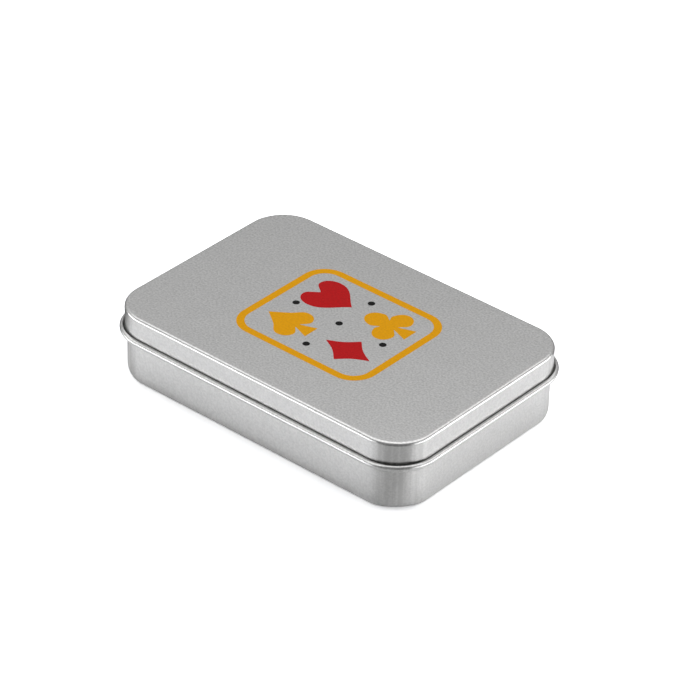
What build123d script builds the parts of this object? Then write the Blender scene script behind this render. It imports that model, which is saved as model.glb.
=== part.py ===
from build123d import *

import os
from math import pi, sin, sqrt

# A hinged tinplate tin for one deck of playing cards, in millimetres.
#
# +X runs along the tin's long side, +Y points at the hinge and +Z is up. The origin is the middle
# of the footprint, on the surface that the tin stands on. The tin is laid out from the inside out:
# the cards set the pocket, the pocket sets the insert, the insert sets the base, and the base sets
# the lid. The lid is modelled closed.

# The deck
card_length = 88.0
card_width = 63.0
card_corner = 3.2
card_thickness = 0.3
suits = ("spade", "heart", "club", "diamond")
cards_per_suit = 13
jokers = 2
deck_slip = 0.18  # a card lies at most this far from the deck's middle, each way
slip_turn_long = 2.4  # radians from card to card, so that the slips look random
slip_turn_wide = 4.1

# The vacuum-formed insert that holds the deck
insert_sheet = 0.5
insert_draft = 2.0  # degrees
insert_corner = 11.2
insert_edge = 0.8  # rounding of the ledge
insert_gap = 0.3  # between the insert and the base's wall
insert_foot_gap = 0.1  # between the insert's foot and the base's bottom rounding
pocket_clearance = 0.5  # round a card, at the pocket's floor
pocket_corner = 3.6
end_margin = 10.25  # from the pocket's foot to the insert's foot, at each end
side_margin = 4.75  # the same, at each side
deck_proud = 0.55  # the deck stands this far above the ledge
finger_web = 3.0  # from a finger notch to the insert's end
finger_step = 3.0  # from the pocket's floor up to a finger notch's floor

# The tin's sheet and its fits
sheet = 0.25
head_room = 5.2  # between the deck and the lid's panel
lid_gap = 0.4  # between the base's wall and the lid's skirt, so that the lid can swing off
rim_gap = 0.15  # between the base's rim and the lid's panel

# The base's bottom and rim
foot_radius = 1.5
foot_width = 4.0  # the standing ring, inside the bottom rounding
foot_step = 0.6  # the panel inside that ring is pressed up by this
foot_draft = 45.0  # degrees
rim_radius = 0.8  # outside radius of the rim's inward roll
rim_turn = 290.0  # degrees

# The lid
lid_edge = 0.95  # rounding between the panel and the skirt
lid_depth = 7.7  # from the lid's top down to the middle of its rolled edge
curl_radius = 0.9  # outside radius of the rolled edge
curl_corner_turn = 262.0  # degrees: the roll stays more open round the corners
curl_side_turn = 290.0  # degrees: it's nearly shut against the skirt along the sides
curl_runout = 2.5  # length over which the shut part draws back before a corner

# The hinge: two tongues of the base's wall wrap wire pins that lie in the lid's rolled edge
hinge_offset = 29.0  # from the tin's middle to each tongue
tongue_width = 9.0
tongue_bend = 0.4  # middle radius of the bend out of the wall
tongue_turn = 240.0  # degrees round the pin
tongue_side_gap = 0.3  # between a tongue and the lid's roll
tongue_relief = 0.5  # slits in the base's wall, beside and below each tongue
notch_gap = 0.5  # between a tongue and the top of the lid's notch
pin_clearance = 0.05
pin_hold = 4.0  # length of pin inside the lid's roll, at each side of a tongue

# Levels
cards = len(suits) * cards_per_suit + jokers
panel_level = foot_step + sheet
pocket_floor = panel_level + insert_sheet
deck_top = pocket_floor + cards * card_thickness
ledge_level = deck_top - deck_proud
insert_foot = foot_radius + insert_foot_gap
finger_floor = pocket_floor + finger_step
lid_underside = deck_top + head_room
tin_height = lid_underside + sheet
rim_level = lid_underside - rim_gap
rim_spring = rim_level - rim_radius  # the wall is straight up to here
hinge_level = tin_height - lid_depth

# Sizes in plan
pocket_length = card_length + 2 * pocket_clearance
pocket_width = card_width + 2 * pocket_clearance
insert_length = pocket_length + 2 * end_margin
insert_width = pocket_width + 2 * side_margin
finger_radius = end_margin - finger_web
insert_to_base = insert_gap + sheet
base_length = insert_length + 2 * insert_to_base
base_width = insert_width + 2 * insert_to_base
base_corner = insert_corner + insert_to_base
base_to_lid = lid_gap + sheet
lid_length = base_length + 2 * base_to_lid
lid_width = base_width + 2 * base_to_lid
lid_corner = base_corner + base_to_lid
curl_reach = curl_radius - sheet  # from the skirt's outside to the middle of the roll
curl_middle = curl_radius - sheet / 2  # to the middle of the rolled sheet
hinge_reach = lid_width / 2 + curl_reach
notch_width = tongue_width + 2 * tongue_side_gap
notch_height = curl_radius + notch_gap
pin_radius = curl_radius - sheet - pin_clearance
pin_length = notch_width + 2 * pin_hold

# A tongue's sheet, from the wall's middle out to the pin, and the window that it's struck from
wall_middle = base_width / 2 - sheet / 2
tongue_level = hinge_level - curl_middle
bend_level = tongue_level - tongue_bend
tongue_run = hinge_reach - wall_middle - tongue_bend
tongue_length = tongue_bend * pi / 2 + tongue_run + curl_middle * tongue_turn * pi / 180
window_width = tongue_width + 2 * tongue_relief
window_foot = bend_level - tongue_relief
window_height = tongue_relief + tongue_length

os.makedirs("parts", exist_ok=True)


def save(builder, name):
    """Labels a finished piece and writes it as the node of that name."""
    builder.part.label = name
    export_step(builder.part, f"parts/{name}.step")


def rounded_block(length, width, corner, foot, top, top_edge=0, foot_edge=0):
    """A block with round corners and a round top or bottom edge."""
    with BuildPart() as block:
        with BuildSketch(Plane.XY.offset(foot)):
            RectangleRounded(length, width, corner)
        extrude(amount=top - foot)
        if top_edge:
            fillet(block.faces().sort_by(Axis.Z)[-1].edges(), top_edge)
        if foot_edge:
            fillet(block.faces().sort_by(Axis.Z)[0].edges(), foot_edge)
    return block.part


def drafted_block(length, width, corner, foot, top, draft):
    """A block with round corners that narrows upwards by the draft, or widens if it's negative."""
    with BuildPart() as block:
        with BuildSketch(Plane.XY.offset(foot)):
            RectangleRounded(length, width, corner)
        extrude(amount=top - foot, taper=draft)
    return block.part


def rolled_edge(length, width, corner, level, middle_radius, start_angle, turn):
    """Sheet rolled about a rounded rectangle. The angles are seen on the +X side, from -Y."""
    with BuildSketch(Plane.XY.offset(level)) as route:
        RectangleRounded(length, width, corner)
    path = route.sketch.face().outer_wire()
    section_plane = Plane(origin=(length / 2, 0, level), x_dir=(1, 0, 0), z_dir=(0, -1, 0))
    with BuildPart() as roll:
        with BuildSketch(section_plane):
            with BuildLine():
                CenterArc((0, 0), middle_radius, start_angle, turn)
            trace(line_width=sheet)
        sweep(path=path)
    return roll.part


def shut_roll(straight):
    """The last part of the lid's roll along one straight side, drawn back at both its ends."""
    half = straight / 2
    with BuildPart() as shut:
        with BuildSketch(Plane.YZ.offset(-half)):
            with BuildLine():
                CenterArc((0, 0), curl_middle, 180 + curl_corner_turn, curl_side_turn - curl_corner_turn)
            trace(line_width=sheet)
        extrude(amount=straight)
        with BuildSketch(Plane.XY.offset(-curl_radius)):
            with BuildLine():
                Polyline(
                    (-half, curl_radius),
                    (half, curl_radius),
                    (half - curl_runout, -curl_radius),
                    (curl_runout - half, -curl_radius),
                    close=True,
                )
            make_face()
        extrude(amount=2 * curl_radius, mode=Mode.INTERSECT)
    return shut.part


# Base: a drawn tray. Its rim is rolled inwards and its panel is pressed up inside a standing ring.
tray_outside = rounded_block(base_length, base_width, base_corner, 0, rim_spring, foot_edge=foot_radius)
tray_inside = rounded_block(
    base_length - 2 * sheet,
    base_width - 2 * sheet,
    base_corner - sheet,
    sheet,
    rim_spring,
    foot_edge=foot_radius - sheet,
)
rim = rolled_edge(
    base_length - 2 * rim_radius,
    base_width - 2 * rim_radius,
    base_corner - rim_radius,
    rim_spring,
    rim_radius - sheet / 2,
    0,
    rim_turn,
)
panel_inset = foot_radius + foot_width
panel_spread = sheet * sqrt(2)  # the drafted sheet's thickness, measured level
panel_below = drafted_block(
    base_length - 2 * panel_inset,
    base_width - 2 * panel_inset,
    base_corner - panel_inset,
    0,
    foot_step,
    foot_draft,
)
panel_above = drafted_block(
    base_length - 2 * panel_inset + 2 * panel_spread,
    base_width - 2 * panel_inset + 2 * panel_spread,
    base_corner - panel_inset + panel_spread,
    0,
    panel_level,
    foot_draft,
)

with BuildPart() as base:
    add(tray_outside)
    add(tray_inside, mode=Mode.SUBTRACT)
    add(panel_above)
    add(panel_below, mode=Mode.SUBTRACT)
    add(rim)
    with BuildSketch(Plane.XY.offset(window_foot)):
        with Locations((-hinge_offset, wall_middle), (hinge_offset, wall_middle)):
            Rectangle(window_width, 4 * sheet)
    extrude(amount=window_height, mode=Mode.SUBTRACT)
    for side in (-1, 1):
        with BuildSketch(Plane.YZ.offset(side * hinge_offset)):
            with BuildLine():
                rise = Line((wall_middle, window_foot), (wall_middle, bend_level))
                bend = JernArc(rise @ 1, rise % 1, tongue_bend, -90)
                run = Line(bend @ 1, (hinge_reach, tongue_level))
                JernArc(run @ 1, run % 1, curl_middle, tongue_turn)
            trace(line_width=sheet)
        extrude(amount=tongue_width / 2, both=True)
save(base, "base")

# Lid: a shallow drawn cup whose skirt ends in an outward roll, notched at the back for the tongues
lid_outside = rounded_block(lid_length, lid_width, lid_corner, hinge_level, tin_height, top_edge=lid_edge)
lid_inside = rounded_block(
    lid_length - 2 * sheet,
    lid_width - 2 * sheet,
    lid_corner - sheet,
    hinge_level,
    lid_underside,
    top_edge=lid_edge - sheet,
)
open_roll = rolled_edge(
    lid_length + 2 * curl_reach,
    lid_width + 2 * curl_reach,
    lid_corner + curl_reach,
    hinge_level,
    curl_middle,
    180,
    curl_corner_turn,
)
long_roll = shut_roll(lid_length - 2 * lid_corner)
short_roll = shut_roll(lid_width - 2 * lid_corner)
end_reach = lid_length / 2 + curl_reach

with BuildPart() as lid:
    add(lid_outside)
    add(lid_inside, mode=Mode.SUBTRACT)
    add(open_roll)
    with Locations(
        Location((0, hinge_reach, hinge_level)),
        Location((0, -hinge_reach, hinge_level), (0, 0, 180)),
    ):
        add(long_roll)
    with Locations(
        Location((end_reach, 0, hinge_level), (0, 0, -90)),
        Location((-end_reach, 0, hinge_level), (0, 0, 90)),
    ):
        add(short_roll)
    with BuildSketch(Plane.XY.offset(hinge_level - 2 * curl_radius)):
        with Locations((-hinge_offset, hinge_reach), (hinge_offset, hinge_reach)):
            Rectangle(notch_width, 4 * curl_radius)
    extrude(amount=2 * curl_radius + notch_height, mode=Mode.SUBTRACT)
save(lid, "lid")

# Hinge pins: straight wire
for name, place in (("hinge_pin_left", -hinge_offset), ("hinge_pin_right", hinge_offset)):
    with BuildPart() as pin:
        with BuildSketch(Plane.YZ.offset(place)):
            with Locations((hinge_reach, hinge_level)):
                Circle(pin_radius)
        extrude(amount=pin_length / 2, both=True)
    save(pin, name)

# Insert: one sheet formed over a block, with a pocket for the deck and a finger notch at each end.
# The pocket's floor lies on the base's panel, and the skirt ends above the base's bottom rounding.
def insert_pocket(spare):
    """The room for the deck, larger all round and deeper by spare."""
    return drafted_block(
        pocket_length + 2 * spare,
        pocket_width + 2 * spare,
        pocket_corner + spare,
        pocket_floor - spare,
        deck_top,
        -insert_draft,
    )


def insert_block(spare):
    """The solid under the formed sheet's face, or under its back if spare is the sheet's thickness."""
    outside = drafted_block(
        insert_length - 2 * spare,
        insert_width - 2 * spare,
        insert_corner - spare,
        panel_level - spare,
        ledge_level - spare,
        insert_draft,
    )
    pocket = insert_pocket(spare)
    with BuildPart() as block:
        add(outside)
        add(pocket, mode=Mode.SUBTRACT)
        with BuildSketch(Plane.XY.offset(finger_floor - spare)):
            with Locations((-pocket_length / 2, 0), (pocket_length / 2, 0)):
                Circle(finger_radius + spare)
        extrude(amount=deck_top - finger_floor, taper=-insert_draft, mode=Mode.SUBTRACT)
        fillet(block.faces().sort_by(Axis.Z)[-1].edges(), insert_edge - spare)
    return block.part


formed_face = insert_block(0)
formed_back = insert_block(insert_sheet)
pocket_back = insert_pocket(insert_sheet)
with BuildPart() as skirt_trim:
    with BuildSketch():
        RectangleRounded(base_length, base_width, base_corner)
    extrude(amount=insert_foot)
    add(pocket_back, mode=Mode.SUBTRACT)
with BuildPart() as insert_tray:
    add(formed_face)
    add(formed_back, mode=Mode.SUBTRACT)
    add(skirt_trim.part, mode=Mode.SUBTRACT)
save(insert_tray, "insert_tray")

# Deck: cards lie face to face, each a little off the middle
card_names = [f"card_{suit}_{number:02}" for suit in suits for number in range(1, cards_per_suit + 1)]
card_names += [f"card_joker_{number}" for number in range(1, jokers + 1)]
for count, name in enumerate(card_names):
    slip = (deck_slip * sin(count * slip_turn_long), deck_slip * sin(count * slip_turn_wide))
    with BuildPart() as card:
        with BuildSketch(Plane.XY.offset(pocket_floor + count * card_thickness)):
            with Locations(slip):
                RectangleRounded(card_length, card_width, card_corner)
        extrude(amount=card_thickness)
    save(card, name)
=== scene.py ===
# %% [markdown]
# # A hinged tin for a deck of cards
#
# A small box pressed from thin tinplate, with a lid that swings on two wire pins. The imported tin
# comes in as the frame: it already has every piece in its place, in metres, with the origin in the
# middle of the footprint. This notebook dresses that frame. It sets up a studio, forms the two
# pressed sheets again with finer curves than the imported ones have, prints the lid and the cards,
# and gives every surface its finish.

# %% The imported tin
from math import atan2, copysign, cos, hypot, pi, radians, sin, sqrt

import bmesh
import bpy
from mathutils import Matrix, Vector


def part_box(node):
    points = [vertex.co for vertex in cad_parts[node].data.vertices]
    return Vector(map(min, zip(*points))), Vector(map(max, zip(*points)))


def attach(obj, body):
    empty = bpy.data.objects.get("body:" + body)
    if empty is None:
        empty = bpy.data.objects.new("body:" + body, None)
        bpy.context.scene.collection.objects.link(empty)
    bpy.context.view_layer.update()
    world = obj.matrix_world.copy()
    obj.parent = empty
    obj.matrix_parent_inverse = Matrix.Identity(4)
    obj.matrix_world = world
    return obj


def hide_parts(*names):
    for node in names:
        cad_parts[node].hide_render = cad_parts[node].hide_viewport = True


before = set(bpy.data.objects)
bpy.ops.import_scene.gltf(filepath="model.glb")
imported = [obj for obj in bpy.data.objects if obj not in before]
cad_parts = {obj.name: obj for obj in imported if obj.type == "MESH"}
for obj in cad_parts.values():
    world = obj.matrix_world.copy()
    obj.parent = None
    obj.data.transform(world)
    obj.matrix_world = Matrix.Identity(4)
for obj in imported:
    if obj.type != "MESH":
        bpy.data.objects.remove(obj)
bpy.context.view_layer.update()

mm = 0.001

# %% [markdown]
# The camera stands off the tin's near corner, a third of the way up from the horizon and a metre
# away, with a long lens. A long lens keeps the far edges almost parallel to the near ones, so the
# tin's proportions can be judged. Its place is built from three directions: back from the tin to
# the camera, right, and up. The same three directions, as the columns of a matrix, are its turn.

# %% Camera
azimuth, elevation, roll = radians(39.8), radians(33.5), radians(1.6)
camera_distance = 1.018
aim_right, aim_up = 0.0039, 0.0114  # the tin lies a little below and left of the frame's middle
lens, sensor = 179.4, 36  # millimetres

back = Vector((sin(azimuth) * cos(elevation), -cos(azimuth) * cos(elevation), sin(elevation)))
level_right = Vector((cos(azimuth), sin(azimuth), 0))
level_up = back.cross(level_right)
right = cos(roll) * level_right + sin(roll) * level_up
up = cos(roll) * level_up - sin(roll) * level_right

camera_data = bpy.data.cameras.new("camera")
camera_data.lens = lens
camera_data.sensor_width = sensor
camera = bpy.data.objects.new("camera", camera_data)
bpy.context.scene.collection.objects.link(camera)
place = back * camera_distance + right * aim_right + up * aim_up
camera.matrix_world = Matrix.Translation(place) @ Matrix((right, up, back)).transposed().to_4x4()
bpy.context.scene.camera = camera
print("the camera stands at", [round(part, 3) for part in place])

# %% [markdown]
# The room, the floor and every finish are trees of shader nodes, so a few helpers for such trees
# come first. Each takes plain values as well as other nodes' outputs. That keeps a recipe readable
# as a sum: this noise, spread over that range, times this share.


# %% Help with node trees
def fill(tree, socket, value):
    """Links a socket to another node's output, or sets it to a plain value."""
    if isinstance(value, bpy.types.NodeSocket):
        tree.links.new(value, socket)
    else:
        socket.default_value = value


def add_node(tree, kind, **sockets):
    """Adds a node. A keyword names a socket by its words, with _ for a space."""
    node = tree.nodes.new(kind)
    for words, value in sockets.items():
        fill(tree, node.inputs[words.replace("_", " ")], value)
    return node


def calculate(tree, operation, first, second=0.0):
    """One step of arithmetic."""
    node = tree.nodes.new("ShaderNodeMath")
    node.operation = operation
    fill(tree, node.inputs[0], first)
    fill(tree, node.inputs[1], second)
    return node.outputs["Value"]


def spread(tree, value, low, high, to_low, to_high, smooth=False):
    """Maps a value from one range to another and holds it at the ends."""
    node = add_node(tree, "ShaderNodeMapRange", Value=value)
    if smooth:
        node.interpolation_type = "SMOOTHSTEP"
    for name, number in (("From Min", low), ("From Max", high), ("To Min", to_low), ("To Max", to_high)):
        node.inputs[name].default_value = number
    return node.outputs["Result"]


def length_along(tree, place, direction):
    """How far a place lies along a direction."""
    node = tree.nodes.new("ShaderNodeVectorMath")
    node.operation = "DOT_PRODUCT"
    fill(tree, node.inputs[0], place)
    fill(tree, node.inputs[1], direction)
    return node.outputs["Value"]


def blend_colours(tree, share, first, second):
    """Mixes two colours by a share, from all of the first to all of the second."""
    node = tree.nodes.new("ShaderNodeMix")
    node.data_type = "RGBA"
    sockets = {socket.identifier: socket for socket in node.inputs}
    fill(tree, sockets["Factor_Float"], share)
    fill(tree, sockets["A_Color"], first)
    fill(tree, sockets["B_Color"], second)
    return next(socket for socket in node.outputs if socket.identifier == "Result_Color")


# %% [markdown]
# A metal surface has no colour of its own to speak of: it shows the room. So the room matters more
# than the paint here. Behind the tin the studio is mid grey, which the flat lid mirrors. Towards
# the camera it's darker, which darkens the near corner and draws a thin dark line along each
# rounded edge. The camera itself sees plain white behind everything, because a Light Path node
# gives it that.

# %% Studio: the world
behind_grey, front_grey = 0.49, 0.24
front_full = 0.7  # the room is fully front grey where its direction goes this far towards the camera
to_camera = Vector((sin(azimuth), -cos(azimuth), 0))  # on the level

world = bpy.data.worlds.new("studio")
bpy.context.scene.world = world
world.use_nodes = True
sky = world.node_tree
sky.nodes.clear()
looking = add_node(sky, "ShaderNodeTexCoord").outputs["Generated"]
forward = length_along(sky, looking, to_camera)
grey = spread(sky, forward, 0, front_full, behind_grey, front_grey, smooth=True)
room = add_node(sky, "ShaderNodeBackground", Color=grey)
paper = add_node(sky, "ShaderNodeBackground", Color=(1, 1, 1, 1))
seen = add_node(sky, "ShaderNodeLightPath").outputs["Is Camera Ray"]
either = add_node(sky, "ShaderNodeMixShader", Fac=seen)
sky.links.new(room.outputs["Background"], either.inputs[1])
sky.links.new(paper.outputs["Background"], either.inputs[2])
add_node(sky, "ShaderNodeOutputWorld", Surface=either.outputs["Shader"])

bpy.context.scene.view_settings.view_transform = "Standard"
bpy.context.scene.view_settings.look = "None"
print("the room goes from", behind_grey, "behind the tin to", front_grey, "at the camera")

# %% [markdown]
# Three soft lamps: a broad one overhead that lights the floor, and one to the left and one to the
# right, whose mirror images are the bright lines along the rounded edges. These two are thin and
# hang just over the horizon, so the lines stay crisp, and the flat lid mirrors the lamps only to
# someone who looks from near the table. Each lamp is placed by its compass direction from the tin,
# its height above the horizon and its distance, and its power is worked out from how bright its
# face should look.


# %% Studio: the lamps
def soft_lamp(name, compass, height, distance, width, tall, brightness):
    """A rectangular lamp that faces the tin. The compass is in degrees from +X towards +Y."""
    data = bpy.data.lights.new(name, "AREA")
    data.shape = "RECTANGLE"
    data.size, data.size_y = width, tall
    data.energy = brightness * pi * width * tall
    lamp = bpy.data.objects.new(name, data)
    bpy.context.scene.collection.objects.link(lamp)
    around, up_from_level = radians(compass), radians(height)
    away = Vector((cos(around), sin(around), 0)) * cos(up_from_level)
    away.z = sin(up_from_level)
    facing = (-away).to_track_quat("-Z", "Y")
    lamp.matrix_world = Matrix.Translation(away * distance) @ facing.to_matrix().to_4x4()
    print("the", name, "has a face of", width, "by", tall, "m")


soft_lamp("overhead lamp", compass=130, height=77, distance=1.0, width=1.7, tall=1.25, brightness=0.97)
soft_lamp("left lamp", compass=-134, height=6.5, distance=1.3, width=1.55, tall=0.22, brightness=6.6)
soft_lamp("right lamp", compass=28, height=6.5, distance=1.3, width=1.8, tall=0.24, brightness=6.6)

# %% [markdown]
# The floor is matt and nearly white. A sheet of paper three metres each way from the tin is enough,
# so it's a grid of one face.

# %% Studio: the floor
floor_reach = 3.0

floor_mesh = bpy.data.meshes.new("floor")
shape = bmesh.new()
bmesh.ops.create_grid(shape, x_segments=1, y_segments=1, size=floor_reach)
shape.to_mesh(floor_mesh)
shape.free()
floor = bpy.data.objects.new("floor", floor_mesh)
bpy.context.scene.collection.objects.link(floor)
print("the floor is", [round(side, 1) for side in floor.dimensions[:2]], "m")

# %% [markdown]
# The upright walls mirror the floor beside them, so what lies there shapes them as much as the
# lamps do, and reflections are painted into the floor for them. A whiter patch on the right is a
# painted reflection that brightens the short wall. A grey patch off the near corner, painted where a
# grey card could stand, is a painted reflection that gives that corner its darker middle. Behind the
# tin, and well in front of it, the floor is painted nearly black, and along the foot of the long
# front wall a painted shade lies, as it is under a tin's own edge. These patches are in the floor's
# paint, and a Light Path node shows them only to rays that bounced off something glossy. The same node
# makes the paint lighter to the camera, which does what a
# longer exposure would: the floor is pure white all round, and only the soft shadow close to the
# tin is left of it. The mirrored floor is lightened less.

# %% Studio: the floor's paint
# The colours of the painted reflections and the painted shade that only the metal mirrors.
floor_white, painted_white_reflection = (0.93, 0.935, 0.945, 1), (1.02, 1.02, 1.025, 1)
shade_grey, painted_grey_reflection, dark_grey = (0.68, 0.68, 0.68, 1), (0.47, 0.47, 0.47, 1), (0.05, 0.05, 0.05, 1)
seen_gain, mirrored_gain = 1.86, 1.31
seen_glow = 0.15
floor_roughness, floor_gloss = 0.9, 0.1

floor_paint = bpy.data.materials.new("floor paint")
floor_paint.use_nodes = True
floor_mesh.materials.append(floor_paint)
paint = floor_paint.node_tree
floor_place = add_node(paint, "ShaderNodeTexCoord").outputs["Object"]
floor_sides = add_node(paint, "ShaderNodeSeparateXYZ", Vector=floor_place).outputs
floor_x, floor_y = floor_sides["X"], floor_sides["Y"]
floor_away = length_along(paint, floor_place, -to_camera)
rays = add_node(paint, "ShaderNodeLightPath").outputs

# Each patch has a colour and its soft edges: what is measured, in metres, where the patch begins
# to show and where it's full.
# Painted reflections, with a white patch to the right, a grey patch off the near corner and two black
# bands, and a painted shade along the front foot.
patches = (
    (painted_white_reflection, ((floor_x, 0.046, 0.062),)),
    (shade_grey, ((floor_y, -0.0420, -0.0375), (floor_x, 0.040, 0.034))),
    (painted_grey_reflection, ((floor_x, 0.028, 0.056), (floor_y, -0.024, -0.046))),
    (dark_grey, ((floor_away, 0.010, 0.040),)),
    (dark_grey, ((floor_away, -0.112, -0.155),)),
)
painted = floor_white
for colour, edges in patches:
    share = rays["Is Glossy Ray"]
    for measure, start, full in edges:
        share = calculate(paint, "MULTIPLY", share, spread(paint, measure, start, full, 0, 1, smooth=True))
    painted = blend_colours(paint, share, painted, colour)
print("the floor has", len(patches), "patches that only metal mirrors")

# %% Studio: the floor as each ray sees it
to_eye = spread(paint, rays["Is Camera Ray"], 0, 1, 1, seen_gain)
to_metal = spread(paint, rays["Is Glossy Ray"], 0, 1, 1, mirrored_gain)
exposed = paint.nodes.new("ShaderNodeVectorMath")
exposed.operation = "SCALE"
fill(paint, exposed.inputs[0], painted)
fill(paint, exposed.inputs["Scale"], calculate(paint, "MULTIPLY", to_eye, to_metal))

floor_shader = paint.nodes["Principled BSDF"]
fill(paint, floor_shader.inputs["Base Color"], exposed.outputs["Vector"])
fill(paint, floor_shader.inputs["Roughness"], floor_roughness)
fill(paint, floor_shader.inputs["Specular IOR Level"], floor_gloss)
fill(paint, floor_shader.inputs["Emission Color"], floor_white)
glow = spread(paint, rays["Is Camera Ray"], 0, 1, 0, seen_glow)
fill(paint, floor_shader.inputs["Emission Strength"], glow)
print("the floor is", seen_gain, "times as light to the camera and", mirrored_gain, "times to metal")

# %% [markdown]
# The lid and the base are pressed from one sheet each, so both are made the same way: draw the
# section of the sheet's middle, lead it round the tin, fill the flat panel, and give the sheet its
# thickness with a Solidify modifier. The section grows like a pencil line. An extruded vertex draws
# a straight run and a spun vertex draws an arc, so each bend has one centre and one angle.

# %% Sizes that both sheets share
sheet = 0.25 * mm
weld = 0.002 * mm  # vertices this close together are merged
same = 0.01 * mm  # places this close together count as one
hold = 0.3 * mm  # from a bend to one more point on the straight, which keeps its shading flat
panel_rim = 0.8 * mm  # how far a section runs on into its flat panel
lid_low, lid_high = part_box("lid")
base_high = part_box("base")[1]
pin_low, pin_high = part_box("hinge_pin_right")
pin_level = (pin_low.z + pin_high.z) / 2
pin_reach = (pin_low.y + pin_high.y) / 2
pin_place = (pin_low.x + pin_high.x) / 2
curl_radius = pin_level - lid_low.z  # the lid's roll, which lies round the pins
curl_middle = curl_radius - sheet / 2
base_corner = 11.75 * mm
lid_gap = 0.4 * mm  # between the base's wall and the lid's skirt
lid_corner = base_corner + lid_gap + sheet
corner_x = base_high.x - base_corner  # the corners' centres, the same for both sheets
corner_y = lid_high.y - curl_radius - (curl_radius - sheet) - lid_corner
print("the corners turn about", round(corner_x / mm, 2), round(corner_y / mm, 2))


# %% The pencil line
def start_line(shape, reach, level):
    """Puts the pencil down, reach out from the corners' centres and at that level."""
    return [shape.verts.new((reach, 0, level))]


def draw_run(shape, line, reach, level):
    """Draws straight on to a point."""
    grown = bmesh.ops.extrude_vert_indiv(shape, verts=[line[-1]])
    line.append(grown["verts"][0])
    line[-1].co = (reach, 0, level)


def draw_arc(shape, line, reach, level, degrees, steps):
    """Draws on round a centre. Positive degrees turn from out to up."""
    for _ in range(steps):
        turned = bmesh.ops.spin(
            shape,
            geom=[line[-1]],
            cent=(reach, 0, level),
            axis=(0, -1, 0),
            angle=radians(degrees / steps),
            steps=1,
        )
        line.append(next(part for part in turned["geom_last"] if isinstance(part, bmesh.types.BMVert)))


# %% [markdown]
# The section is led round the tin quarter by quarter. Along a straight side it's stood up at five
# stations, which are bridged, with two of them close to the ends so that the bend's shading stays
# at the bend. Round a corner it's spun about the corner's centre.

# %% Round the tin
corner_steps = 28
end_station = 1.5 * mm


def line_edges(line):
    """The pencil line's own edges, in a set that leaves out anything already made into sheet."""
    edges = {edge for vert in line for edge in vert.link_edges}
    return [edge for edge in edges if not edge.link_faces]


def stand_section(shape, line, turn, out, along):
    """Stands a copy of the section on one side of the tin and returns what was copied."""
    copied = bmesh.ops.duplicate(shape, geom=line + line_edges(line))
    for vert in line:
        copied["vert_map"][vert].co = turn @ (vert.co + Vector((out, along, 0)))
    return copied["geom"]


def lead_round(shape, line, centre_x, centre_y):
    """Leads the section round four sides and four corners, then lifts the pencil line off."""
    for quarter in range(4):
        turn = Matrix.Rotation(quarter * pi / 2, 4, "Z")
        out, half = (centre_x, centre_y) if quarter % 2 == 0 else (centre_y, centre_x)
        last = []
        for station in (-half, end_station - half, 0, half - end_station, half):
            stood = stand_section(shape, line, turn, out, station)
            edges = [part for part in stood if isinstance(part, bmesh.types.BMEdge)]
            if last:
                bmesh.ops.bridge_loops(shape, edges=last + edges)
            last = edges
        bmesh.ops.spin(
            shape,
            geom=stand_section(shape, line, turn, out, half),
            cent=turn @ Vector((out, half, 0)),
            axis=(0, 0, 1),
            angle=pi / 2,
            steps=corner_steps,
        )
    bmesh.ops.delete(shape, geom=line, context="VERTS")
    bmesh.ops.remove_doubles(shape, verts=shape.verts, dist=weld)


def fill_panel(shape, level):
    """Closes the flat panel inside the ring whose free edge lies at that level."""
    edges = [
        edge for edge in shape.edges
        if edge.is_boundary and all(abs(vert.co.z - level) < same for vert in edge.verts)
    ]
    bmesh.ops.edgeloop_fill(shape, edges=edges)


print("each corner has", corner_steps, "steps")

# %% [markdown]
# The lid's section starts on the flat panel, rounds the edge, runs down the skirt and rolls
# outwards round the line that the hinge pins lie on. The tool that shuts the roll pinches it: its
# outer edge turns tighter than a full round, and its back lies nearly flat. So the roll is four
# arcs that follow on smoothly, each with its outside radius, its turn in degrees and its steps.

# %% Lid
lid_edge = 0.95 * mm
pinched_arcs = (  # outside radius, degrees, steps
    (1.0 * mm, 90, 10),
    (0.8 * mm, 90, 10),
    (0.7 * mm, 65, 7),
    (1.6 * mm, 34, 5),
)
panel_middle = lid_high.z - sheet / 2
skirt_middle = lid_corner - sheet / 2
roll_centre = skirt_middle + curl_middle
roll_top = pin_level - curl_middle + pinched_arcs[0][0] - sheet / 2

shape = bmesh.new()
line = start_line(shape, lid_corner - lid_edge - panel_rim, panel_middle)
draw_run(shape, line, lid_corner - lid_edge, panel_middle)
draw_arc(shape, line, lid_corner - lid_edge, lid_high.z - lid_edge, degrees=-90, steps=12)
draw_run(shape, line, skirt_middle, lid_high.z - lid_edge - hold)
draw_run(shape, line, skirt_middle, roll_top + hold)
draw_run(shape, line, skirt_middle, roll_top)
roll_start = len(line) - 1
heading = 180  # degrees, from an arc's centre to where it starts
for radius, turn, steps in pinched_arcs:
    middle, away = radius - sheet / 2, radians(heading)
    last = line[-1].co
    draw_arc(shape, line, last.x - middle * cos(away), last.z - middle * sin(away), turn, steps)
    heading += turn
roll = [(vert.co.x, vert.co.z) for vert in line[roll_start:]]
lead_round(shape, line, corner_x, corner_y)
fill_panel(shape, panel_middle)
print("the roll's section has", len(roll), "points")

# %% [markdown]
# Round a corner the metal is short, so there the roll stays a plain round and a little open, and
# shows a dark groove. Along the hinge it's a plain round too, shut about the pins. So each vertex of
# the roll has a pinched place and a round one, at the same share of the sheet's way round, and it
# moves from the one to the other smoothly between the ends of a corner and its middle. At the near
# corner of this tin the lower half of the roll also hangs a little deeper.

# %% The roll opens round the corners
hinge_roll, corner_roll = 296, 270  # degrees
opening_arc = radians(36)  # of a corner, until the roll is fully open
near_swell = 0.7  # how much deeper the roll's lower half is at the near corner, as a share


def corner_share(beyond, arc):
    """Rises smoothly from nought at a corner's ends to one at that arc from them."""
    turned = min(atan2(beyond.y, beyond.x), atan2(beyond.x, beyond.y))
    share = min(1, max(0, turned) / arc)
    return share * share * (3 - 2 * share)


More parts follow.
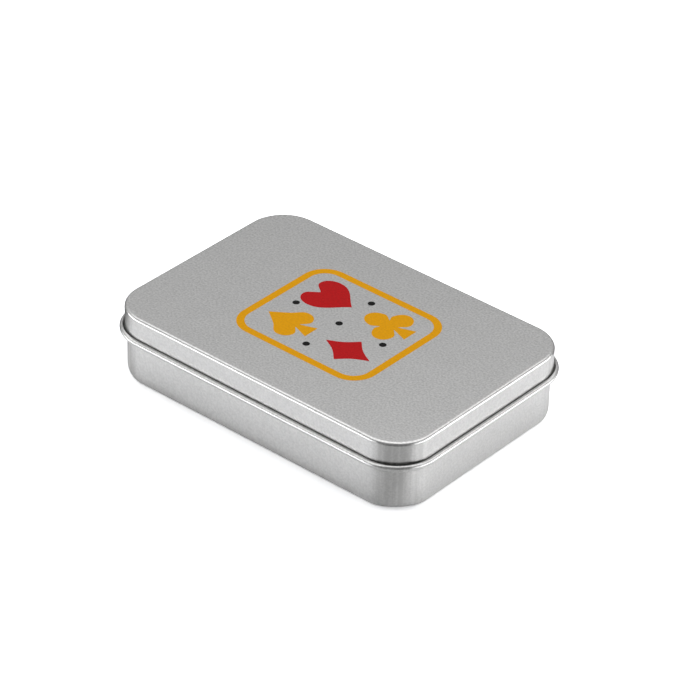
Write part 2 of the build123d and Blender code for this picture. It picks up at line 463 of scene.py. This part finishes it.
ways = [0]
for (reach, level), (next_reach, next_level) in zip(roll, roll[1:]):
    ways.append(ways[-1] + hypot(next_reach - reach, next_level - level))


def plain_round(step, degrees):
    """Where a step of the roll lies if the whole roll is a plain round that turns by the degrees."""
    angle = pi + radians(degrees) * ways[step] / ways[-1]
    return Vector((roll_centre + curl_middle * cos(angle), pin_level + curl_middle * sin(angle)))


moved = 0
for vert in shape.verts:
    beyond = Vector((abs(vert.co.x) - corner_x, abs(vert.co.y) - corner_y))
    in_corner = min(beyond) > 0
    out = beyond.length if in_corner else max(beyond)
    gaps = [hypot(reach - out, level - vert.co.z) for reach, level in roll]
    step = gaps.index(min(gaps))
    if gaps[step] > same:
        continue
    share = corner_share(beyond, opening_arc) if in_corner else 0
    at_hinge = vert.co.y > 0 and beyond.y > beyond.x
    shut = plain_round(step, hinge_roll) if at_hinge else Vector(roll[step])
    reach, level = shut.lerp(plain_round(step, corner_roll), share)
    if vert.co.y < 0 < vert.co.x and level < pin_level:
        level += (level - pin_level) * near_swell * share
    if in_corner:
        flat = Vector((corner_x, corner_y)) + beyond.normalized() * reach
    elif beyond.x > beyond.y:
        flat = Vector((corner_x + reach, abs(vert.co.y)))
    else:
        flat = Vector((abs(vert.co.x), corner_y + reach))
    vert.co = (copysign(flat.x, vert.co.x), copysign(flat.y, vert.co.y), level)
    moved += 1
print(moved, "vertices of the roll were set")

# %% [markdown]
# Two notches in the back of the skirt and its roll make room for the base's tongues. A hole in
# sheet is scored first, along its sides, by cutting the faces with planes, and then the faces
# inside it are taken out. That leaves straight edges wherever the faces happened to lie.

# %% Notches for the hinges
notch_half = 4.8 * mm
notch_top = pin_level + 1.4 * mm
back_from = corner_y + 10 * mm  # cuts in the back wall start here, inside the tin
far = 1.0  # a metre, which is past everything on the tin


def faces_within(shape, low, high):
    """The faces whose middles lie inside an upright box."""
    found = []
    for face in shape.faces:
        centre = face.calc_center_median()
        if all(low[axis] < centre[axis] < high[axis] for axis in range(3)):
            found.append(face)
    return found


def score(shape, faces, axis, level):
    """Splits faces along the plane on which that axis has that level."""
    edges = list({edge for face in faces for edge in face.edges})
    verts = list({vert for face in faces for vert in face.verts})
    point, normal = Vector(), Vector()
    point[axis], normal[axis] = level, 1
    bmesh.ops.bisect_plane(shape, geom=faces + edges + verts, plane_co=point, plane_no=normal)


def cut_out(shape, low, high):
    """Scores the sheet along the sides of an upright box and takes away what lies inside."""
    for side in (low.x, high.x):
        back = faces_within(shape, Vector((-far, low.y, -far)), Vector((far, far, far)))
        score(shape, back, 0, side)
    for side in (low.z, high.z):
        strip = faces_within(shape, Vector((low.x, low.y, -far)), Vector((high.x, far, far)))
        score(shape, strip, 2, side)
    bmesh.ops.delete(shape, geom=faces_within(shape, low, high), context="FACES")


for side in (-1, 1):
    middle = side * pin_place
    low = Vector((middle - notch_half, back_from, -far))
    high = Vector((middle + notch_half, far, notch_top))
    cut_out(shape, low, high)
print("the notches are", round(2 * notch_half / mm, 1), "mm wide")

# %% [markdown]
# So far the lid is a middle surface without any thickness. A Solidify modifier gives it half the
# sheet to each side. The modifier is applied at once, because only then can the cut edges be
# marked sharp by their angle while the bends stay smooth.

# %% Pressed sheet
sharp_from = radians(35)


def press(shape, name):
    """Turns a middle surface into sheet, smooth over bends and sharp at its cut edges."""
    bmesh.ops.recalc_face_normals(shape, faces=shape.faces)
    mesh = bpy.data.meshes.new(name)
    shape.to_mesh(mesh)
    shape.free()
    piece = bpy.data.objects.new(name, mesh)
    bpy.context.scene.collection.objects.link(piece)
    thickness = piece.modifiers.new("thickness", "SOLIDIFY")
    thickness.thickness = sheet
    thickness.offset = 0
    thickness.use_even_offset = True
    graph = bpy.context.evaluated_depsgraph_get()
    piece.data = bpy.data.meshes.new_from_object(piece.evaluated_get(graph))
    piece.modifiers.clear()
    piece.data.shade_smooth()
    piece.data.set_sharp_from_angle(angle=sharp_from)
    print(name, "has", len(piece.data.polygons), "faces")
    return piece


lid = press(shape, "pressed_lid")
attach(lid, "lid")
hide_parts("lid")

# %% [markdown]
# The base's section starts on its pressed-up panel, steps down to the standing ring, rounds the
# bottom edge, climbs the wall and rolls inwards at the rim. The step down leans at 45 degrees, with
# a small bend at its top and another at its foot.

# %% Base
foot_radius, foot_width, foot_step = 1.5 * mm, 4.0 * mm, 0.6 * mm
level_side, leaning_side = 0.2 * mm, 0.1 * mm  # a small bend's reach on each side of its corner
rim_radius, rim_roll = 0.8 * mm, 290
wall_middle = base_corner - sheet / 2
rim_spring = base_high.z - rim_radius
step_reach = base_corner - foot_radius - foot_width
lean = sheet / 2 * (sqrt(2) - 1)  # a leaning sheet's middle line meets a level one this far out
step_in, step_out = step_reach - foot_step + lean, step_reach + lean
panel_level, ring_level = foot_step + sheet / 2, sheet / 2

shape = bmesh.new()
line = start_line(shape, step_reach - foot_step - panel_rim, panel_level)
draw_run(shape, line, step_in - level_side, panel_level)
draw_run(shape, line, step_in + leaning_side, panel_level - leaning_side)
draw_run(shape, line, step_out - leaning_side, ring_level + leaning_side)
draw_run(shape, line, step_out + level_side, ring_level)
draw_run(shape, line, base_corner - foot_radius, ring_level)
draw_arc(shape, line, base_corner - foot_radius, foot_radius, degrees=90, steps=9)
draw_run(shape, line, wall_middle, foot_radius + hold)
draw_run(shape, line, wall_middle, rim_spring - hold)
draw_run(shape, line, wall_middle, rim_spring)
draw_arc(shape, line, base_corner - rim_radius, rim_spring, degrees=rim_roll, steps=24)
lead_round(shape, line, corner_x, corner_y)
fill_panel(shape, panel_level)
print("the base's middle surface has", len(shape.faces), "faces")

# %% [markdown]
# In a corner the sheet can't follow the die's small radius, so the foot grows rounder towards the
# corner's middle. The foot is scaled about the place where the wall meets the floor, by a share
# that rises smoothly from the corner's ends.

# %% A rounder foot in the corners
corner_foot = 2.7 * mm  # the foot's radius in the middle of a corner
for vert in shape.verts:
    beyond = Vector((abs(vert.co.x) - corner_x, abs(vert.co.y) - corner_y))
    at_foot = vert.co.z < foot_radius + hold + same and beyond.length > base_corner - foot_radius - same
    if min(beyond) > 0 and at_foot:
        swell = 1 + (corner_foot / foot_radius - 1) * corner_share(beyond, pi / 4)
        flat = beyond.normalized() * (wall_middle + swell * (beyond.length - wall_middle))
        vert.co.x = copysign(corner_x + flat.x, vert.co.x)
        vert.co.y = copysign(corner_y + flat.y, vert.co.y)
        vert.co.z = ring_level + swell * (vert.co.z - ring_level)
print("the foot's radius goes from", foot_radius / mm, "to", corner_foot / mm, "mm")

# %% [markdown]
# Two windows in the back wall are what is left where the hinge tongues were bent out. Each is as
# tall as its tongue is long, and a little wider, so that the tool can reach in.

# %% Windows behind the hinges
tongue_half = 4.5 * mm
relief = 0.5 * mm
tongue_bend, tongue_wrap = 0.4 * mm, 240
tongue_level = pin_level - curl_middle
bend_level = tongue_level - tongue_bend
back_wall = corner_y + wall_middle
window_foot = bend_level - relief
tongue_run = pin_reach - back_wall - tongue_bend
tongue_length = tongue_bend * pi / 2 + tongue_run + curl_middle * radians(tongue_wrap)
for side in (-1, 1):
    middle = side * pin_place
    low = Vector((middle - tongue_half - relief, back_from, window_foot))
    high = Vector((middle + tongue_half + relief, far, bend_level + tongue_length))
    cut_out(shape, low, high)
    low.z, high.z = foot_radius, window_foot
    for edge in (middle - tongue_half, middle + tongue_half):
        score(shape, faces_within(shape, low, high), 0, edge)
print("each tongue is", round(tongue_length / mm, 1), "mm of sheet")

# %% [markdown]
# Each tongue is one more pencil line, drawn up the wall, out under the pin and round it. It's
# drawn towards +X as the sections are, turned to face the back, and pulled sideways to its width.
# Its foot shares the scored edge of the wall, so the two are merged.

# %% Hinge tongues
face_back = Matrix.Rotation(pi / 2, 4, "Z")
for side in (-1, 1):
    line = start_line(shape, back_wall, window_foot)
    draw_run(shape, line, back_wall, bend_level)
    draw_arc(shape, line, back_wall + tongue_bend, bend_level, degrees=-90, steps=6)
    draw_run(shape, line, pin_reach, tongue_level)
    draw_arc(shape, line, pin_reach, pin_level, degrees=tongue_wrap, steps=24)
    for vert in line:
        vert.co = face_back @ vert.co + Vector((side * pin_place - tongue_half, 0, 0))
    pulled = bmesh.ops.extrude_edge_only(shape, edges=line_edges(line))
    wide = [part for part in pulled["geom"] if isinstance(part, bmesh.types.BMVert)]
    bmesh.ops.translate(shape, verts=wide, vec=(2 * tongue_half, 0, 0))
bmesh.ops.remove_doubles(shape, verts=shape.verts, dist=weld)
base = press(shape, "pressed_base")
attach(base, "base")
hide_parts("base")

# %% [markdown]
# The finishes all start in the same way, so one helper makes the material, two make patterns and
# one makes a bump. The patterns read Object coordinates, which are metres on the tin itself, so a
# grain of six tenths of a millimetre is a noise scale of about 1650. Raw noise keeps to the middle
# of its range, so it's spread out until it runs from nought to one.


# %% Help with finishes
noise_margin = 0.3  # raw noise seldom comes closer than this to nought or one


def new_finish(name, metallic, roughness):
    """A material with a Principled shader and the coordinates that its patterns read."""
    finish = bpy.data.materials.new(name)
    finish.use_nodes = True
    tree = finish.node_tree
    shader = tree.nodes["Principled BSDF"]
    shader.inputs["Metallic"].default_value = metallic
    shader.inputs["Roughness"].default_value = roughness
    coordinates = add_node(tree, "ShaderNodeTexCoord").outputs["Object"]
    return finish, tree, shader, coordinates


def noise(tree, coordinates, scale, detail=2.0, stretch=(1, 1, 1)):
    """Noise with a grain of about one over the scale, in metres, drawn out where stretch is small."""
    mapped = add_node(tree, "ShaderNodeMapping", Vector=coordinates, Scale=stretch).outputs["Vector"]
    return add_node(tree, "ShaderNodeTexNoise", Vector=mapped, Scale=scale, Detail=detail).outputs["Fac"]


def full_noise(tree, coordinates, scale, detail, stretch=(1, 1, 1), margin=noise_margin):
    """The same noise without its margins, so that it runs from nought to one."""
    return spread(tree, noise(tree, coordinates, scale, detail, stretch), margin, 1 - margin, 0, 1)


def add_bump(tree, shader, height, distance):
    """Raises the surface by a height from nought to one times the distance."""
    bump = add_node(tree, "ShaderNodeBump", Height=height, Distance=distance)
    tree.links.new(bump.outputs["Normal"], shader.inputs["Normal"])


# %% [markdown]
# Stone-finish tinplate is steel with a skin of tin, rolled between ground rollers, so it's a dull
# silver with a fine even grain and no direction. Drawing the sheet over the die irons that grain
# out by half on the walls, and pulls it into upright streaks round the corners, where the metal was
# squeezed. The streaks are noise that is stretched along Z and shown only beyond both corner
# centres, on faces that stand upright.

# %% Tinplate
tin_dark, tin_light = (0.54, 0.54, 0.535, 1), (0.745, 0.743, 0.738, 1)
grain_scale, cloud_scale, streak_scale = 1650, 160, 620
streak_stretch = 0.015
streak_start, streak_full = -1 * mm, 4 * mm  # beyond a corner's centre
lying, standing = 0.6, 0.2  # how much a face's normal leans on Z when it counts as each
ironed_out, mid_grain = 0.5, 0.5  # how much of the grain the walls lose, and what it's ironed to
grain_share, cloud_share, streak_share = 0.9, 0.1, 0.6  # of the step from dark to light
tin_roughness = (0.275, 0.305)
tin_bump, streak_height = 0.0006 * mm, 3.0


def tinplate():
    finish, tree, shader, coordinates = new_finish("tinplate", 1.0, 0.29)
    normal = coordinates.node.outputs["Normal"]
    leaning = add_node(tree, "ShaderNodeSeparateXYZ", Vector=normal).outputs["Z"]
    leaning = calculate(tree, "ABSOLUTE", leaning)
    upright = spread(tree, leaning, standing, lying, 1, 0)
    parts = add_node(tree, "ShaderNodeSeparateXYZ", Vector=coordinates).outputs
    in_corner = upright
    for part, centre in ((parts["X"], corner_x), (parts["Y"], corner_y)):
        beyond = calculate(tree, "SUBTRACT", calculate(tree, "ABSOLUTE", part), centre)
        share = spread(tree, beyond, streak_start, streak_full, 0, 1, smooth=True)
        in_corner = calculate(tree, "MULTIPLY", in_corner, share)

    ironed = calculate(tree, "MULTIPLY", upright, ironed_out)
    grain = full_noise(tree, coordinates, grain_scale, 1)
    grain = calculate(tree, "MULTIPLY", grain, calculate(tree, "SUBTRACT", 1, ironed))
    grain = calculate(tree, "ADD", grain, calculate(tree, "MULTIPLY", ironed, mid_grain))
    clouds = full_noise(tree, coordinates, cloud_scale, 2)
    streaks = full_noise(tree, coordinates, streak_scale, 4, stretch=(1, 1, streak_stretch), margin=0.35)
    drawn = calculate(tree, "MULTIPLY", streaks, in_corner)

    light = calculate(tree, "MULTIPLY", grain, grain_share)
    light = calculate(tree, "ADD", light, calculate(tree, "MULTIPLY", clouds, cloud_share))
    light = calculate(tree, "SUBTRACT", light, calculate(tree, "MULTIPLY", drawn, streak_share))
    tree.links.new(blend_colours(tree, light, tin_dark, tin_light), shader.inputs["Base Color"])
    tree.links.new(spread(tree, grain, 0, 1, *tin_roughness), shader.inputs["Roughness"])
    height = calculate(tree, "ADD", grain, calculate(tree, "MULTIPLY", drawn, streak_height))
    add_bump(tree, shader, height, tin_bump)
    return finish


tin = tinplate()
for piece in (lid, base):
    piece.data.materials.clear()
    piece.data.materials.append(tin)
print("the lid and the base are", tin.name)

# %% [markdown]
# Printing ink on tin dries to a hard, slightly glossy film. It's a little thinner here and there,
# so the colour is mottled finely, and the sheet's grain still shows in its gloss.

# %% Inks
ink_roughness, ink_gloss, ink_bump = (0.30, 0.44), 0.06, 0.003 * mm


def ink(name, thin, full):
    finish, tree, shader, coordinates = new_finish(name, 0.0, 0.35)
    speckle = full_noise(tree, coordinates, grain_scale, 1)
    tree.links.new(blend_colours(tree, speckle, thin, full), shader.inputs["Base Color"])
    tree.links.new(spread(tree, speckle, 0, 1, *ink_roughness), shader.inputs["Roughness"])
    add_bump(tree, shader, speckle, ink_bump)
    shader.inputs["Specular IOR Level"].default_value = ink_gloss
    return finish


amber_ink = ink("amber ink", (0.70, 0.31, 0.0, 1), (0.80, 0.37, 0.0, 1))
red_ink = ink("red ink", (0.42, 0.004, 0.006, 1), (0.52, 0.007, 0.009, 1))
black_ink = ink("black ink", (0.004, 0.004, 0.004, 1), (0.012, 0.012, 0.012, 1))
print("the inks are", amber_ink.name, red_ink.name, "and", black_ink.name)

# %% [markdown]
# The print on the lid is the four card suits in a rounded frame, in the reds and ambers of card
# boxes, with a few black dots. Offset ink lies about a hundredth of a millimetre thick on the tin.
# Each motif is a flat 2D curve, because such a curve fills its own outline, and it's turned into a
# mesh. A suit is drawn as half an outline, in units of half its height, and mirrored, so that it's
# exactly symmetrical. At a sharp point the outline's handles are straight, and elsewhere they're
# left to Blender, which draws the smoothest curve through the points.

# %% Drawing a motif
ink_thickness = 0.012 * mm
print_x = 0.3 * mm  # the print's middle
round_steps, curve_steps = 12, 12  # in a quarter round, and between two points of a curve


def mirrored(half):
    """Both halves of an outline whose first and last points lie on the middle line."""
    return half + [(-x, y, handle) for x, y, handle in reversed(half[1:-1])]


def rounded_outline(half_width, half_height, corner):
    """A rectangle with round corners, as short straight steps."""
    outline = []
    for quarter in range(4):
        middle = quarter * pi / 2 + pi / 4
        across = copysign(half_width - corner, cos(middle))
        above = copysign(half_height - corner, sin(middle))
        for step in range(round_steps + 1):
            angle = (quarter + step / round_steps) * pi / 2
            outline.append((across + corner * cos(angle), above + corner * sin(angle), "VECTOR"))
    return outline


def printed(name, outlines, finish, scale=1.0, across=0.0, above=0.0):
    """Lays filled outlines on the lid as one piece. An outline inside another is a hole."""
    data = bpy.data.curves.new(name, "CURVE")
    data.dimensions = "2D"
    data.fill_mode = "BOTH"
    data.resolution_u = curve_steps
    data.extrude = ink_thickness
    for points in outlines:
        spline = data.splines.new("BEZIER")
        spline.use_cyclic_u = True
        spline.bezier_points.add(len(points) - 1)
        for bezier, (x, y, handle) in zip(spline.bezier_points, points):
            bezier.co = (x, y, 0)
            bezier.handle_left_type = bezier.handle_right_type = handle
    drawn = bpy.data.objects.new(name + "_outline", data)
    bpy.context.scene.collection.objects.link(drawn)
    graph = bpy.context.evaluated_depsgraph_get()
    mesh = bpy.data.meshes.new_from_object(drawn.evaluated_get(graph))
    bpy.data.objects.remove(drawn)
    place = Matrix.Translation((print_x - above, across, lid_high.z))
    mesh.transform(place @ Matrix.Rotation(pi / 2, 4, "Z") @ Matrix.Diagonal((scale, scale, 1, 1)))
    mesh.materials.clear()
    mesh.materials.append(finish)
    piece = bpy.data.objects.new(name, mesh)
    bpy.context.scene.collection.objects.link(piece)
    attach(piece, "lid")
    print(name, "measures", [round(side / mm, 1) for side in piece.dimensions], "mm")


# %% The suits
suit_halves = {
    "spade": [
        (0, 1, "VECTOR"), (0.42, 0.42, "AUTO"), (0.86, -0.16, "AUTO"), (0.52, -0.60, "AUTO"),
        (0.10, -0.36, "VECTOR"), (0.34, -1, "VECTOR"), (0, -1, "VECTOR"),
    ],
    "heart": [
        (0, -1, "VECTOR"), (0.92, 0.32, "AUTO"), (0.50, 0.90, "AUTO"), (0, 0.48, "VECTOR"),
    ],
    "diamond": [
        (0, 1, "VECTOR"), (0.30, 0.46, "AUTO"), (0.74, 0, "VECTOR"), (0.30, -0.46, "AUTO"),
        (0, -1, "VECTOR"),
    ],
    "club": [
        (0, 1, "AUTO"), (0.44, 0.56, "AUTO"), (0.26, 0.16, "VECTOR"), (0.52, 0.24, "AUTO"),
        (0.94, -0.20, "AUTO"), (0.52, -0.62, "AUTO"), (0.10, -0.34, "VECTOR"),
        (0.34, -1, "VECTOR"), (0, -1, "VECTOR"),
    ],
}
print("the suits are", list(suit_halves))

# %% The print
frame_line, frame_corner = 2.4 * mm, 8.0 * mm
frame_width, frame_height = 43.0 * mm, 50.0 * mm
suit_size = 8.2 * mm  # half a suit's height
suit_across, suit_above = 9.0 * mm, 11.0 * mm
dot_across, dot_above = 1.6 * suit_across, 1.5 * suit_above
dot_radius = 1.1 * mm

edges = [
    rounded_outline(frame_width / 2 - inset, frame_height / 2 - inset, frame_corner - inset)
    for inset in (0, frame_line)
]
printed("printed_frame", edges, amber_ink)
for name, suit_ink, across, above in (
    ("spade", amber_ink, -1, 1),
    ("heart", red_ink, 1, 1),
    ("diamond", red_ink, -1, -1),
    ("club", amber_ink, 1, -1),
):
    outline = mirrored(suit_halves[name])
    printed(f"printed_{name}", [outline], suit_ink, suit_size, across * suit_across, above * suit_above)
dot = rounded_outline(1, 1, 1)
for number, (across, above) in enumerate(((0, 0), (0, 1), (0, -1), (1, 0), (-1, 0)), 1):
    printed(f"printed_dot_{number}", [dot], black_ink, dot_radius, across * dot_across, above * dot_above)

# %% [markdown]
# The cards are coated board with a lattice printed on their backs. The cut edges are plain white
# board, so the print is masked by the direction of the face. The lattice is two sets of slanting
# lines: a sum and a difference of X and Y that repeat every few millimetres, each cut to a thin
# line, inside a border that leaves the card's margin white.

# %% Cards
lattice_pitch = 2.4 * mm
lattice_line, lattice_blur = 0.24, 0.06  # shares of the pitch
card_half_length, card_half_width = 44 * mm, 31.5 * mm
card_margin = 3.5 * mm
facing_up = 0.7  # how much a face's normal leans on Z when the face carries print
fibre_scale, fibre_bump, card_roughness = 1400, 0.01 * mm, (0.38, 0.50)
board_shades = (0.78, 0.77, 0.74, 1), (0.88, 0.87, 0.85, 1)
back_shades = (0.42, 0.008, 0.014, 1), (0.50, 0.012, 0.020, 1)


def card_stock():
    finish, tree, shader, coordinates = new_finish("card stock", 0.0, 0.45)
    parts = add_node(tree, "ShaderNodeSeparateXYZ", Vector=coordinates)
    x, y = parts.outputs["X"], parts.outputs["Y"]
    lines = 0.0
    for operation in ("ADD", "SUBTRACT"):
        slanted = calculate(tree, "DIVIDE", calculate(tree, operation, x, y), lattice_pitch)
        from_line = calculate(tree, "SUBTRACT", calculate(tree, "FRACT", slanted), 0.5)
        away = calculate(tree, "ABSOLUTE", from_line)
        line = spread(tree, away, lattice_line / 2, lattice_line / 2 + lattice_blur, 1, 0, smooth=True)
        lines = calculate(tree, "MAXIMUM", lines, line)
    inside = 1.0
    for distance, half in ((x, card_half_length - card_margin), (y, card_half_width - card_margin)):
        near = calculate(tree, "LESS_THAN", calculate(tree, "ABSOLUTE", distance), half)
        inside = calculate(tree, "MULTIPLY", inside, near)
    facing = add_node(tree, "ShaderNodeSeparateXYZ", Vector=coordinates.node.outputs["Normal"])
    backs = calculate(tree, "GREATER_THAN", facing.outputs["Z"], facing_up)
    between = calculate(tree, "SUBTRACT", 1, lines)
    inked = calculate(tree, "MULTIPLY", calculate(tree, "MULTIPLY", inside, backs), between)
    fibre = noise(tree, coordinates, fibre_scale, 3)
    board = blend_colours(tree, fibre, *board_shades)
    back_ink = blend_colours(tree, fibre, *back_shades)
    tree.links.new(blend_colours(tree, inked, board, back_ink), shader.inputs["Base Color"])
    gloss = spread(tree, fibre, noise_margin, 1 - noise_margin, *card_roughness)
    tree.links.new(gloss, shader.inputs["Roughness"])
    add_bump(tree, shader, fibre, fibre_bump)
    return finish


# %% [markdown]
# The insert is black polystyrene sheet, drawn down over a block by vacuum. Such sheet has a satin
# face with a very fine bump like orange peel. The two pins are bright drawn wire, with fine lines
# along their length from the die.


# %% Insert and pins
peel_scale, peel_bump, plastic_roughness = 1100, 0.03 * mm, (0.32, 0.46)
plastic_shades = (0.012, 0.012, 0.013, 1), (0.022, 0.022, 0.024, 1)
wire_scale, wire_bump, wire_roughness = 9000, 0.004 * mm, (0.20, 0.34)
wire_stretch = 0.02  # along X, as the pins lie
wire_shades = (0.55, 0.55, 0.54, 1), (0.74, 0.74, 0.73, 1)


def insert_plastic():
    finish, tree, shader, coordinates = new_finish("insert plastic", 0.0, 0.38)
    peel = noise(tree, coordinates, peel_scale, 3)
    tree.links.new(blend_colours(tree, peel, *plastic_shades), shader.inputs["Base Color"])
    gloss = spread(tree, peel, noise_margin, 1 - noise_margin, *plastic_roughness)
    tree.links.new(gloss, shader.inputs["Roughness"])
    add_bump(tree, shader, peel, peel_bump)
    return finish


def drawn_wire():
    finish, tree, shader, coordinates = new_finish("drawn wire", 1.0, 0.25)
    lines = full_noise(tree, coordinates, wire_scale, 2, stretch=(wire_stretch, 1, 1))
    tree.links.new(blend_colours(tree, lines, *wire_shades), shader.inputs["Base Color"])
    tree.links.new(spread(tree, lines, 0, 1, *wire_roughness), shader.inputs["Roughness"])
    add_bump(tree, shader, lines, wire_bump)
    return finish


# %% [markdown]
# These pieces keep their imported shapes, which are right as they are, and only get their finishes.

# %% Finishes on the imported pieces
finishes = {"card_": card_stock(), "insert_tray": insert_plastic(), "hinge_pin": drawn_wire()}
dressed = 0
for node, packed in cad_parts.items():
    for start, finish in finishes.items():
        if node.startswith(start):
            packed.data.materials.clear()
            packed.data.materials.append(finish)
            dressed += 1
print(dressed, "packed pieces have their finish")
